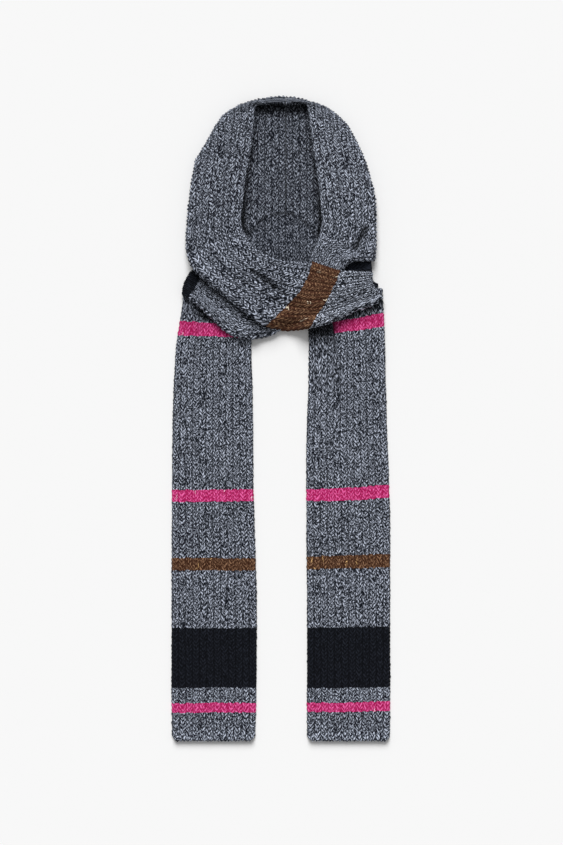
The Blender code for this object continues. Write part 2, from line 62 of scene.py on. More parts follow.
# Lengths that the rows and columns of points are counted from.
HOOD_RUN = 330
PANEL_RUN = 104
TURN_RUN = 28
TURN_STEP = 1.7
COVERED_BACK_RUN = 90
SHOWN_BACK_RUN = 84
COVERED_SHARE = 0.52    # of the back sheet, from the fold on
WRAP_RUN = 400
WRAP_FRONT_RUN = 118
WRAP_TURN_STEPS = 12
WRAP_TUCK_STEPS = 5
TAIL_WIDTH = 155
PROBES = 900            # places at which a table's length is measured
CURVE_POINTS = 121      # points of the curve from front edge to fold

SUNK = 0.6              # how far the knit is let into the surface of its solid
SOLID_RIB = 0.5         # taken off the solids' tops for their ribs, whose mean height is 0.6

# The pieces' tables, in millimetres. Rows run along the piece, and each row is one line across it.
HOOD_COLUMNS = ("seam_y", "fold_x", "fold_y", "edge_x", "edge_y", "radius", "edge_z", "bulge")
HOOD_LEFT = (
    (310, -172.6, 311.5, -69, 347, 9.5, 20.0, 1.0),
    (338, -171.6, 340, -73, 366, 9.8, 19.5, 1.5),
    (367, -169.6, 371, -70, 397, 9.5, 18.5, 2.0),
    (397, -166.6, 403, -67, 423, 9.2, 18.0, 2.0),
    (426, -162.4, 436, -64, 449, 9.0, 18.0, 2.0),
    (454, -157.8, 466, -59, 475, 9.0, 18.0, 1.5),
    (478, -149.2, 487.5, -54, 499, 9.0, 18.5, 1.5),
    (500, -133.5, 513.5, -51, 521, 9.0, 18.5, 1.0),
    (519, -119, 539, -49, 545, 9.5, 18.0, 0.5),
    (536, -103.5, 560.5, -48, 565, 9.5, 17.0, 0.0),
    (549, -77, 577.3, -46, 576, 9.5, 15.0, 0.0),
    (556, -51.5, 585.5, -38, 580, 9.0, 13.0, 0.0),
    (561, -22, 590.3, -19, 582, 8.5, 12.0, 0.0),
    (565, 9, 592.3, 9, 583, 8.5, 12.0, 0.0),
)
HOOD_RIGHT = (
    (310, 170.8, 292, 72, 347, 9.5, 20.0, 1.0),
    (338, 172.4, 326, 75, 366, 9.8, 19.5, 1.5),
    (367, 172.5, 357.5, 73, 388, 9.5, 18.5, 2.0),
    (397, 171.7, 390, 71, 412, 9.2, 18.0, 2.0),
    (426, 168.5, 422, 68, 436, 9.0, 18.0, 2.0),
    (454, 160.3, 451, 64, 463, 9.0, 18.0, 1.5),
    (478, 150.6, 481.5, 60, 489, 9.0, 18.5, 1.5),
    (500, 137.4, 510, 56, 516, 9.0, 18.5, 1.0),
    (519, 122, 539, 52, 545, 9.5, 18.0, 0.5),
    (536, 100, 561.5, 50, 565, 9.5, 17.0, 0.0),
    (549, 76, 576.8, 49, 577, 9.5, 15.0, 0.0),
    (556, 55.5, 584, 44, 581, 9.0, 13.0, 0.0),
    (561, 33, 589, 29, 582, 8.5, 12.0, 0.0),
    (565, 9, 592.3, 9, 583, 8.5, 12.0, 0.0),
)
SEAM_X = 9.0
SEAM_GAP = 0.3

# held: the share of what it lies on that lifts its outer edge, which sags to the surface elsewhere.
WRAP_COLUMNS = (
    "inner_x", "inner_y", "middle_x", "middle_y", "outer_x", "outer_y",
    "radius", "edge_z", "bulge", "tuck", "turn", "base", "held",
)
WRAP_OVER = (
    (-69, 347, -120.8, 329.2, -172.6, 311.5, 9.5, 20.0, 1, 26, -19.4, 1.7, 1.0),
    (-57, 325, -105, 303, -161, 280, 8.5, 23.0, 2, 24, -14, 1.7, 1.0),
    (-37, 307, -83, 278, -137, 253, 7.0, 25.0, 3, 22, -8, 1.7, 1.0),
    (-9, 295, -56, 258, -109, 232, 6.0, 25.0, 3, 20, 0, 1.7, 1.0),
    (17, 290, -28, 241, -81, 210, 5.0, 25.0, 3, 20, 0, 1.7, 1.0),
    (39, 289, 0, 230, -56, 190, 4.5, 25.0, 3, 20, 0, 1.7, 1.0),
    (57, 288, 31, 231, -27, 172, 4.0, 25.0, 3, 20, 0, 1.7, 0.9),
    (81, 280, 56, 226, 10, 164, 4.0, 25.0, 3, 20, 0, 1.7, 0.1),
    (107, 272, 87, 228, 51, 168, 4.5, 25.0, 3, 20, 0, 1.7, 1.0),
    (131, 271, 111, 231, 81, 175, 5.0, 25.0, 3, 18, 0, 1.7, 1.0),
    (150, 270.5, 134, 237, 112, 187, 5.0, 25.0, 3, 16, 0, 1.7, 1.0),
    (161, 270.5, 152, 240, 141, 202, 5.0, 23.0, 3, 12, 0, 2.0, 1.0),
    (166.5, 269.5, 164.5, 244, 168, 211, 4.5, 18.0, 2, 9, 0, 3.0, 1.0),
    (169.5, 268, 170.5, 247, 186, 225, 3.0, 12.0, 0, 6, 0, 3.0, 1.0),
)
WRAP_UNDER = (
    (72, 347, 121.4, 319.5, 170.8, 292, 9.5, 20.0, 1, 26, 22.8, 1.7, 1.0),
    (69, 333, 110, 311, 148, 290, 7.5, 21.0, 1, 22, 18, 1.7, 1.0),
    (63, 319, 92, 302, 122, 286, 5.5, 21.0, 1, 20, 12, 1.7, 1.0),
    (53, 296, 77, 276, 104, 256, 5.0, 20.0, 1, 18, 0, 1.7, 1.0),
    (40, 258, 56, 235, 74, 214, 4.5, 16.0, 1, 16, 0, 1.7, 1.0),
    (22, 238, 28, 214, 33, 194, 3.6, 12.0, 1, 16, 0, 1.7, 1.0),
    (-6, 232, -6, 197, -6, 163.5, 3.4, 11.0, 1, 16, 0, 1.7, 1.0),
    (-30, 232, -33, 191, -36, 152, 4.0, 11.0, 1, 16, 0, 1.7, 1.0),
    (-56, 234, -60, 193, -66, 151, 4.0, 11.0, 1, 16, 0, 1.7, 1.0),
    (-82, 238, -89, 200, -97, 160, 4.0, 12.0, 1, 16, 0, 1.7, 1.0),
    (-106, 246, -116, 216, -126, 186, 3.4, 12.0, 1, 16, 0, 1.7, 1.0),
    (-128, 258, -139, 234, -150, 209, 3.0, 12.0, 2, 14, 0, 1.7, 1.0),
    (-145, 269, -156, 246, -169, 224, 3.0, 10.0, 2, 10, 0, 1.7, 1.0),
    (-157, 277, -174.5, 262.5, -183, 232, 3.0, 8.0, 1, 6, 0, 1.7, 1.0),
)

# The stretches sag where no tail is under them: the middle and half width of that place, and where it ends.
SAG_X = -2.0
SAG_WIDTH = 47.0
SAG_Y = 235.0
SAG = 6.0

NECK_COLUMNS = ("y", "left_x", "right_x")
NECK = (
    (378.5, -14, 18),
    (375, -24, 28),
    (365, -37, 41),
    (351, -49, 53),
    (337, -60, 64),
    (323, -69, 73),
    (310, -73, 77),
    (290, -73, 77),
    (268, -70, 74),
    (254, -66, 70),
)

NECK_RUN = 125
NECK_WIDTH = 150
NECK_ROW = 1.5
NECK_SOLID_END = 377.9  # no ray is cast past this: the solid ends at 378.5
NECK_DROP = 1.2         # how far the side edges go down

CORE_COLUMNS = ("x", "low_y", "high_y", "height")
CORE = (
    (-112, 255, 292, 7.0),
    (-106, 247, 301, 12.0),
    (-95, 242.0, 307, 16.0),
    (-70, 241.5, 309.5, 17.5),
    (-30, 241.5, 309.5, 18.0),
    (9, 241.5, 309.5, 18.0),
    (50, 241.5, 304.8, 18.0),
    (90, 241.5, 300.4, 18.0),
    (130, 241.5, 292.0, 18.0),
    (150, 241.5, 291.0, 17.5),
    (161, 242.0, 291.0, 16.0),
    (167, 242.0, 290, 13.0),
    (170, 242.5, 258, 10.0),
    (180, 243, 250, 6.5),
)

CORE_RUN = 294
CORE_TOP_RUN = 62
CORE_ROW = 2.0
CORE_STEP = 1.8
CORE_FULL = 18.0        # the height that the layers' profile is drawn for
# One side of the layers from the floor up, with a step for each: how far in from the edge, and height.
LAYERS = (
    (3.5, 0.0), (0.7, 1.5), (0.4, 3.0), (1.2, 4.8), (2.6, 6.0), (1.2, 7.4), (0.8, 9.0), (1.6, 10.8),
    (3.4, 12.0), (2.8, 13.4), (3.6, 15.0), (6.0, 16.6),
)

TAIL_COLUMNS = ("y", "left_x", "right_x")
TAIL_TOP = 241.2
HEM = -597.0
HEM_RISE = 5.5          # the cast-off edge is thicker
HEM_ROWS = 8            # rows of points down its face
HEM_COURSES = 1.3       # courses down its face
EDGE_ROUND = 3.5
CORNER = 9
TAIL_LEFT = (
    (TAIL_TOP, -179, -54),
    (210, -183, -54),
    (182, -187, -54),
    (129, -194.5, -55.5),
    (56, -198.5, -53.5),
    (-31, -201, -52),
    (-132, -202, -51.5),
    (-206, -202, -49),
    (-336, -202.5, -45.5),
    (-484, -203, -45.5),
    (-567, -202, -47.5),
    (HEM, -201.5, -49),
)
TAIL_RIGHT = (
    (TAIL_TOP, 50, 187),
    (210, 50, 189),
    (182, 50, 190.5),
    (129, 52, 192.5),
    (56, 51, 194),
    (-16, 48, 196),
    (-88, 47, 199),
    (-206, 47.5, 202),
    (-336, 48.5, 202),
    (-484, 48.5, 202),
    (-567, 48.5, 202),
    (HEM, 49, 201.5),
)
TAIL_WALES = 12

# The step beside which a tail is doubled: y, x, and its height.
PLEAT_RIGHT = (
    (245, 93, 4.2),
    (190, 93, 4.2),
    (154, 94, 3.6),
    (127, 100, 2.6),
    (90, 109, 1.6),
    (34, 118, 0.0),
)
PLEAT_LEFT = (
    (245, -150, 2.2),
    (182, -151, 2.0),
    (140, -150, 1.2),
    (80, -148, 0.0),
    (34, -148, 0.0),
)
PLEAT_STEP = 5.0

# Stripes of a tail, from the hem up: courses, then the height of its top at the tail's left and right edge.
STRIPE_COLUMNS = ("yarn", "courses", "left_top", "right_top")
STRIPES_LEFT = (
    ("marl", 7, -543.0, -543.0),
    ("pink", 2, -525.8, -525.8),
    ("marl", 4, -498.2, -498.2),
    ("navy", 15, -387.0, -387.0),
    ("marl", 14, -279.9, -279.9),
    ("brown", 3, -256.8, -256.8),
    ("marl", 14, -152.6, -152.6),
    ("pink", 3, -130.4, -130.4),
    ("marl", 39, 155.5, 150.5),
    ("pink", 3, 182.0, 172.0),
    ("marl", 8, 253.0, 243.0),
)
STRIPES_RIGHT = (
    ("marl", 7, -543.0, -541.0),
    ("pink", 2, -525.8, -523.0),
    ("marl", 4, -498.2, -497.0),
    ("navy", 15, -387.0, -384.0),
    ("marl", 14, -278.0, -275.0),
    ("brown", 3, -254.0, -250.0),
    ("marl", 14, -152.6, -147.0),
    ("pink", 3, -130.4, -123.0),
    ("marl", 39, 152.0, 171.0),
    ("pink", 3, 169.5, 197.0),
    ("marl", 8, 235.0, 285.0),
)


def linear(hex_value):
    """sRGB hex to the linear values that a shader takes."""
    parts = [int(hex_value[k:k + 2], 16) / 255 for k in (1, 3, 5)]
    return tuple(p / 12.92 if p <= 0.04045 else ((p + 0.055) / 1.055) ** 2.4 for p in parts)


# ---------------------------------------------------------------- shapes

def spline(names, table, places):
    """The table's rows followed by a smooth curve, read at these places: a dict of one array per column."""
    rows = np.array(table, dtype=float)
    padded = np.vstack((2 * rows[0] - rows[1], rows, 2 * rows[-1] - rows[-2]))
    first = np.clip(places.astype(int), 0, len(rows) - 2)
    t = (places - first)[:, None]
    p0, p1, p2, p3 = (padded[first + k] for k in range(4))
    curve = 0.5 * (
        2 * p1 + (p2 - p0) * t + (2 * p0 - 5 * p1 + 4 * p2 - p3) * t**2 + (3 * p1 - p0 - 3 * p2 + p3) * t**3
    )
    return {name: curve[:, k] for k, name in enumerate(names)}


def column(names, table, name):
    """One named column of a table, as an array."""
    return np.array([row[names.index(name)] for row in table], dtype=float)


def even_places(names, table, paths, count):
    """Places along the table that are evenly spaced by length, taken as the mean of the named paths."""
    probe = np.linspace(0, len(table) - 1, PROBES)
    rows = spline(names, table, probe)
    lengths = [np.hypot(np.diff(rows[x]), np.diff(rows[y])) for x, y in paths]
    so_far = np.concatenate(([0], np.cumsum(np.mean(lengths, axis=0))))
    return np.interp(np.linspace(0, so_far[-1], count), so_far, probe)


def run_lengths(x, y):
    """Length so far along a line of points."""
    return np.concatenate(([0], np.cumsum(np.hypot(np.diff(x), np.diff(y)))))


def fold_line(row, inner, middle, outer, seam, shares):
    """Centre line across a sheet: front edge, middle, half circle at the fold, and back towards the seam.

    shares is three arrays, for the front, the turn and the back. It gives points, normals, the length so far
    and the share of the width.
    """
    front_share, turn_share, back_share = shares
    # A curve in plan through the three points.
    control = 2 * middle - (inner + outer) / 2
    t = np.linspace(0, 1, CURVE_POINTS)[:, None]
    plan = (1 - t) ** 2 * inner + 2 * t * (1 - t) * control + t**2 * outer
    along = run_lengths(plan[:, 0], plan[:, 1])
    width = along[-1]
    radius = row["radius"]
    top = row["base"] + 2 * radius
    flat = width - radius
    out_front = plan[-1] - plan[-2]
    out_front = out_front / np.linalg.norm(out_front)
    out_back = outer - seam
    back_length = np.linalg.norm(out_back)
    out_back = out_back / back_length
    back = min(row["tuck"], back_length)

    # Up from the front edge to the top of the fold, round it, and along the base.
    angle = np.radians(90 - 180 * turn_share)
    across = np.concatenate((
        front_share * flat,
        flat + radius * np.cos(angle),
        flat - back_share * (back - radius),
    ))
    heights = np.concatenate((
        row["edge_z"] + (top - row["edge_z"]) * (1 - (1 - front_share) ** 2)
        + row["bulge"] * np.sin(np.pi * front_share) ** 2,
        row["base"] + radius + radius * np.sin(angle),
        np.full(len(back_share), row["base"]),
    ))
    lengths = np.concatenate((
        front_share * flat,
        flat + math.pi * radius * turn_share,
        flat + math.pi * radius + back_share * (back - radius),
    ))

    # Directions in plan: along the curve at the front, and turning towards the seam on the way round.
    place = np.stack([np.interp(across, along, plan[:, k]) for k in (0, 1)], axis=1)
    ahead = np.stack([np.interp(across + 1, along, plan[:, k]) for k in (0, 1)], axis=1)
    behind = np.stack([np.interp(across - 1, along, plan[:, k]) for k in (0, 1)], axis=1)
    direction = ahead - behind
    direction /= np.maximum(np.linalg.norm(direction, axis=1), 1e-6)[:, None]
    count = len(front_share)
    upper = np.concatenate((np.zeros(count), turn_share, np.ones(len(back_share))))
    blend = np.clip((upper - 0.3) / 0.4, 0, 1)[:, None]
    turned = out_front * (1 - blend) + out_back * blend
    turned /= np.linalg.norm(turned, axis=1)[:, None]
    direction[count:] = turned[count:]
    place[count:] = outer + direction[count:] * (across[count:] - width)[:, None]

    rise = np.concatenate((np.gradient(heights[:count], across[:count]), np.zeros(len(across) - count)))
    scale = np.hypot(rise, 1)
    normals = np.concatenate((direction * (-rise / scale)[:, None], (1 / scale)[:, None]), axis=1)
    facing = np.concatenate((np.full(count, math.pi / 2), angle, np.full(len(back_share), -math.pi / 2)))
    turned_normal = np.concatenate((direction * np.cos(facing)[:, None], np.sin(facing)[:, None]), axis=1)
    normals[count:] = turned_normal[count:]
    points = np.concatenate((place, heights[:, None]), axis=1)
    return points, normals, lengths, np.clip(across / width, 0, 1)


def trough(creases, x, y):
    """How deep the creases lie at x, y."""
    depth = np.zeros_like(x)
    for x0, y0, x1, y1, width, deep in creases:
        line = np.array((x1 - x0, y1 - y0), dtype=float)
        t = ((x - x0) * line[0] + (y - y0) * line[1]) / (line @ line)
        off = np.hypot(x - x0 - np.clip(t, 0, 1) * line[0], y - y0 - np.clip(t, 0, 1) * line[1])
        depth = depth + deep * np.exp(-((off / width) ** 2))
    return depth


def wander(x, y, seed, scale):
    """A soft uneven field, from -1 to 1, that changes over about scale millimetres."""
    rng = np.random.default_rng(seed)
    total = np.zeros_like(x)
    for _ in range(7):
        angle = rng.uniform(0, math.tau)
        pitch = scale * rng.uniform(0.7, 1.9)
        phase = rng.uniform(0, math.tau)
        total = total + np.sin((x * math.cos(angle) + y * math.sin(angle)) * math.tau / pitch + phase)
    return total / 4


def knobs(v):
    """How the stitches of each course stand out of an outline, from -0.5 to 0.5."""
    return np.sin(np.pi * (v % 1)) - 0.5


def relief(u, v, lean=1):
    """Height of the knit over its wall: ribs of V stitches. u counts columns and v courses."""
    w = np.abs(2 * (u % 1) - 1)
    f = (v + SHIFT * np.sin(SHIFT_TURN * np.floor(u)) - lean * SLOPE * w) % 1
    strand = np.sin(np.pi * f) ** 0.8
    leg = np.sin(np.pi * w) ** 0.8
    rib = 0.45 * (1 - w) + 0.78 * leg
    return RIB * rib + STITCH * strand * (0.35 + 0.65 * leg) - 0.4 * STITCH


# ---------------------------------------------------------------- meshes

def grid_mesh(columns, rows):
    """A sheet one unit thick: x counts columns, y counts rows, z is 0 inside and 1 outside."""
    bm = bmesh.new()
    bmesh.ops.create_grid(bm, x_segments=columns, y_segments=rows, size=0.5)
    made = bmesh.ops.extrude_face_region(bm, geom=bm.faces[:], use_keep_orig=True)
    raised = [item for item in made["geom"] if isinstance(item, bmesh.types.BMVert)]
    bmesh.ops.translate(bm, verts=raised, vec=(0, 0, 1))
    bmesh.ops.recalc_face_normals(bm, faces=bm.faces)
    return bm


def slab_mesh(columns, rows):
    """A sheet with points on its top alone: its rim goes down to one flat face below."""
    bm = bmesh.new()
    bmesh.ops.create_grid(bm, x_segments=columns, y_segments=rows, size=0.5)
    bmesh.ops.translate(bm, verts=bm.verts[:], vec=(0, 0, 1))
    rim = [edge for edge in bm.edges if edge.is_boundary]
    made = bmesh.ops.extrude_edge_only(bm, edges=rim)
    lowered = [item for item in made["geom"] if isinstance(item, bmesh.types.BMVert)]
    bmesh.ops.translate(bm, verts=lowered, vec=(0, 0, -1))
    bmesh.ops.holes_fill(bm, edges=[edge for edge in bm.edges if edge.is_boundary], sides=0)
    bmesh.ops.recalc_face_normals(bm, faces=bm.faces)
    return bm


def knit_object(name, bm, outside, inside, uv_outside, uv_inside, materials, painted_shade=None):
    """Lays the sheet's points by the arrays outside and inside, row by column, and gives it its stitch map.

    materials is for the outside and, if there are two, for the inside. cavity is painted shade for each
    outside
    point, from 0 to 1: it darkens the colour in folds, pockets, hollows and under other cloth.
    """
    mesh = bpy.data.meshes.new(name)
    bm.to_mesh(mesh)
    bm.free()
    rows, columns = outside.shape[0] - 1, outside.shape[1] - 1
    co = np.zeros(len(mesh.vertices) * 3, np.float32)
    mesh.vertices.foreach_get("co", co)
    co = co.reshape(-1, 3)
    at_column = np.rint((co[:, 0] + 0.5) * columns).astype(int)
    at_row = np.rint((co[:, 1] + 0.5) * rows).astype(int)
    out = co[:, 2] > 0.5
    placed = np.where(out[:, None], outside[at_row, at_column], inside[at_row, at_column])
    placed[:, 2] = np.maximum(placed[:, 2], FLOOR_GAP)
    mesh.vertices.foreach_set("co", (placed * MM).astype(np.float32).ravel())
    stitch = np.where(out[:, None], uv_outside[at_row, at_column], uv_inside[at_row, at_column])
    layer = mesh.uv_layers.new(name="stitch")
    loops = np.zeros(len(mesh.loops), np.int32)
    mesh.loops.foreach_get("vertex_index", loops)
    layer.data.foreach_set("uv", stitch[loops].astype(np.float32).ravel())
    # Painted shade for each point, stored for the material to darken the colour by.
    if painted_shade is None:
        painted_shade = np.zeros(outside.shape[:2])
    depth = mesh.attributes.new("painted_shade", "FLOAT", "POINT")
    depth.data.foreach_set("value", np.clip(painted_shade, 0, 1)[at_row, at_column].astype(np.float32))
    for material in materials:
        mesh.materials.append(material)
    if len(materials) == 2:
        faces_inside = ~out[loops].reshape(-1, 4).any(axis=1)
        mesh.polygons.foreach_set("material_index", faces_inside.astype(np.int32))
    mesh.update()

    bm = bmesh.new()
    bm.from_mesh(mesh)
    if bm.calc_volume(signed=True) < 0:
        bmesh.ops.reverse_faces(bm, faces=bm.faces)
    for face in bm.faces:
        face.smooth = True
    bm.to_mesh(mesh)
    bm.free()
    obj = bpy.data.objects.new(name, mesh)
    bpy.context.scene.collection.objects.link(obj)
    return obj


def steps(length, spacing):
    """How many spaces of about this size fit in the length."""
    return max(2, round(length / spacing))


# ---------------------------------------------------------------- materials

# Yarns: the colours of the dark and the light ply, the share of light between them, how far it varies, the
# colour of slubs and the share of the legs that have one.
YARN_COLUMNS = ("dark", "light", "middle", "spread", "slub", "slubs")
YARNS = {
    "marl": ("#0a0e17", "#c7cfe0", 0.098, 1.20, "#c7cfe0", 0.0),
    # Painted light: a lighter copy of the marl, for the upper stretch's free end.
    "lit_marl_painted": ("#0a0e17", "#d2daea", 0.125, 1.20, "#d2daea", 0.0),
    "pink": ("#a00c4e", "#ee68aa", 0.27, 0.75, "#f6c9dd", 0.02),
    "navy": ("#06070b", "#2b2f39", 0.21, 0.50, "#2b2f39", 0.0),
    "brown": ("#351c10", "#a57f62", 0.15, 0.80, "#dcb27a", 0.04),
    "wide_brown": ("#3d2319", "#b99371", 0.052, 1.20, "#d9cdb4", 0.06),
}

MATH = "ShaderNodeMath"


def node(tree, kind, *inputs, give=0, **settings):
    """Adds a node and gives one of its outputs. Each input is a value, an output to link, or None."""
    made = tree.nodes.new(kind)
    for key, value in settings.items():
        setattr(made, key, value)
    for socket, value in zip(made.inputs, inputs):
        if isinstance(value, bpy.types.NodeSocket):
            tree.links.new(value, socket)
        elif value is not None:
            socket.default_value = value
    return made.outputs[give]


def stripe_ramp(tree, place, stripes, colour, alpha):
    """Two of the yarns' columns by course, as colour and alpha: one flat step for each stripe."""
    total = sum(courses for _, courses in stripes)
    ramp = tree.nodes.new("ShaderNodeValToRGB")
    tree.links.new(place, ramp.inputs[0])
    ramp.color_ramp.interpolation = "CONSTANT"
    ramp.color_ramp.elements.remove(ramp.color_ramp.elements[1])
    at = 0
    for k, (name, courses) in enumerate(stripes):
        yarn = dict(zip(YARN_COLUMNS, YARNS[name]))
        stop = ramp.color_ramp.elements[0] if k == 0 else ramp.color_ramp.elements.new(at / total)
        stop.color = (*linear(yarn[colour]), yarn[alpha])
        at += courses
    return ramp


def knit_material(name, stripes, painted_light_level=1.0, seed=0.0):
    """Wool-blend rib knit: marled two-ply yarn in V stitches, matte with a faint halo of fibre.

    To the eye: dark cloth flecked with light dashes along each leg of the V, with dark furrows between
    the columns, partly painted shade. stripes is (yarn, courses) from course 0 up. The light level, the third
    argument, scales the share of the light ply for the whole piece: painted shade below 1, painted light
    above 1.
    """
    material = bpy.data.materials.new(name)
    material.use_nodes = True
    tree = material.node_tree
    shader = tree.nodes["Principled BSDF"]
    stitch = node(tree, "ShaderNodeUVMap", uv_map="stitch")
    u = node(tree, "ShaderNodeSeparateXYZ", stitch)
    v = node(tree, "ShaderNodeSeparateXYZ", stitch, give=1)

    # The stitches, as in relief().
    one_column = node(tree, MATH, u, operation="FLOOR")
    leg = node(tree, MATH, node(tree, MATH, u, 2.0, operation="MULTIPLY"), operation="FLOOR")
    w = node(tree, MATH, node(tree, MATH, u, 0.5, operation="PINGPONG"), -2.0, 1.0, operation="MULTIPLY_ADD")
    turn = node(tree, MATH, node(tree, MATH, one_column, SHIFT_TURN, operation="MULTIPLY"), operation="SINE")
    level = node(tree, MATH, turn, SHIFT, v, operation="MULTIPLY_ADD")
    q = node(tree, MATH, w, -SLOPE, level, operation="MULTIPLY_ADD")
    course = node(tree, MATH, q, operation="FLOOR")
    f = node(tree, MATH, q, operation="FRACT")
    strand = node(tree, MATH, node(tree, MATH, f, math.pi, operation="MULTIPLY"), operation="SINE")

    # The plies: light and dark dashes along the strands, uneven in length, place and tone.
    where = node(tree, "ShaderNodeCombineXYZ",
                 node(tree, MATH, q, 3.3, seed, operation="MULTIPLY_ADD"),
                 node(tree, MATH, w, 3.2, operation="MULTIPLY"),
                 node(tree, MATH, leg, 3.17, operation="MULTIPLY"))
    fibre = node(tree, "ShaderNodeTexNoise", where, None, 1.0, 0.5, 0.6)
    uneven = node(tree, MATH, fibre, -0.5, operation="ADD")
    one_leg = node(tree, "ShaderNodeCombineXYZ", leg, course, seed)
    each = node(tree, "ShaderNodeTexWhiteNoise", one_leg)
    tone = node(tree, MATH, each, 0.4, -0.3, operation="MULTIPLY_ADD")
    tone = node(tree, MATH, uneven, 22.0, tone, operation="MULTIPLY_ADD")
    tone = node(tree, MATH, node(tree, MATH, tone, 1.8, operation="MINIMUM"), -3.0, operation="MAXIMUM")

    total = sum(courses for _, courses in stripes)
    own = node(tree, "ShaderNodeTexWhiteNoise", None, leg, noise_dimensions="1D")
    place = node(tree, MATH, own, 0.25, v, operation="MULTIPLY_ADD")
    place = node(tree, MATH, node(tree, MATH, place, operation="FLOOR"), 0.5, operation="ADD")
    place = node(tree, MATH, place, total, operation="DIVIDE")
    dark = stripe_ramp(tree, place, stripes, "dark", "middle")
    light = stripe_ramp(tree, place, stripes, "light", "spread")
    slub = stripe_ramp(tree, place, stripes, "slub", "slubs")

    # Painted shade between strands and in the furrow between columns, and a little at each column's middle.
    varied = node(tree, MATH, tone, light.outputs[1], operation="MULTIPLY")
    power = node(tree, MATH, 2.5, varied, operation="POWER")
    strand_gap_shade = node(tree, "ShaderNodeMapRange", strand, 0.0, 0.9, 0.05, 1.38)
    furrow_shade = node(tree, "ShaderNodeMapRange", w, 0.68, 0.95, 1.0, 0.42, interpolation_type="SMOOTHSTEP")
    middle = node(tree, "ShaderNodeMapRange", w, 0.0, 0.2, 0.80, 1.0, interpolation_type="SMOOTHSTEP")
    share = node(tree, MATH, power, node(tree, MATH, strand_gap_shade, furrow_shade, operation="MULTIPLY"), operation="MULTIPLY")
    # Painted light and shade: the piece's light level scales the share of the light ply.
    painted_light_share = node(tree, MATH, middle, painted_light_level, operation="MULTIPLY")
    share = node(tree, MATH, share, painted_light_share, operation="MULTIPLY")
    share = node(tree, MATH, share, dark.outputs[1], operation="MULTIPLY", use_clamp=True)
    # Painted shade: the attribute darkens the colour, to 0.12 of it where the attribute is 1.
    painted_shade = node(tree, "ShaderNodeAttribute", attribute_name="painted_shade", give=2)
    depth = node(tree, "ShaderNodeMapRange", painted_shade, 0.0, 1.0, 1.0, 0.12)
    mixed = node(tree, "ShaderNodeMix", share, None, None, None, None, None,
                 dark.outputs[0], light.outputs[0], give=2, data_type="RGBA")
    has_slub = node(tree, MATH, each, slub.outputs[1], operation="ADD")
    has_slub = node(tree, MATH, has_slub, 1.0, operation="GREATER_THAN")
    along = node(tree, MATH, w, 0.5, operation="PINGPONG")
    bright = node(tree, "ShaderNodeMapRange", node(tree, MATH, along, 0.3, uneven, operation="MULTIPLY_ADD"),
                  0.15, 0.19, 0.0, has_slub)
    mixed = node(tree, "ShaderNodeMix", bright, None, None, None, None, None,
                 mixed, slub.outputs[0], give=2, data_type="RGBA")
    tree.links.new(node(tree, "ShaderNodeVectorMath", mixed, None, None, depth, operation="SCALE"),
                   shader.inputs["Base Color"])

    height = node(tree, MATH, fibre, 0.5, strand, operation="MULTIPLY_ADD")
    bump = tree.nodes.new("ShaderNodeBump")
    bump.inputs["Strength"].default_value = 0.6
    bump.inputs["Distance"].default_value = 0.0007
    tree.links.new(height, bump.inputs["Height"])
    tree.links.new(bump.outputs[0], shader.inputs["Normal"])
    shader.inputs["Roughness"].default_value = 0.92
    shader.inputs["Specular IOR Level"].default_value = 0.04
    shader.inputs["Sheen Weight"].default_value = 0.02
    shader.inputs["Sheen Roughness"].default_value = 0.6
    return material


# ---------------------------------------------------------------- pieces

def finish_piece(obj, node_name):
    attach(obj, "root")
    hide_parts(node_name)


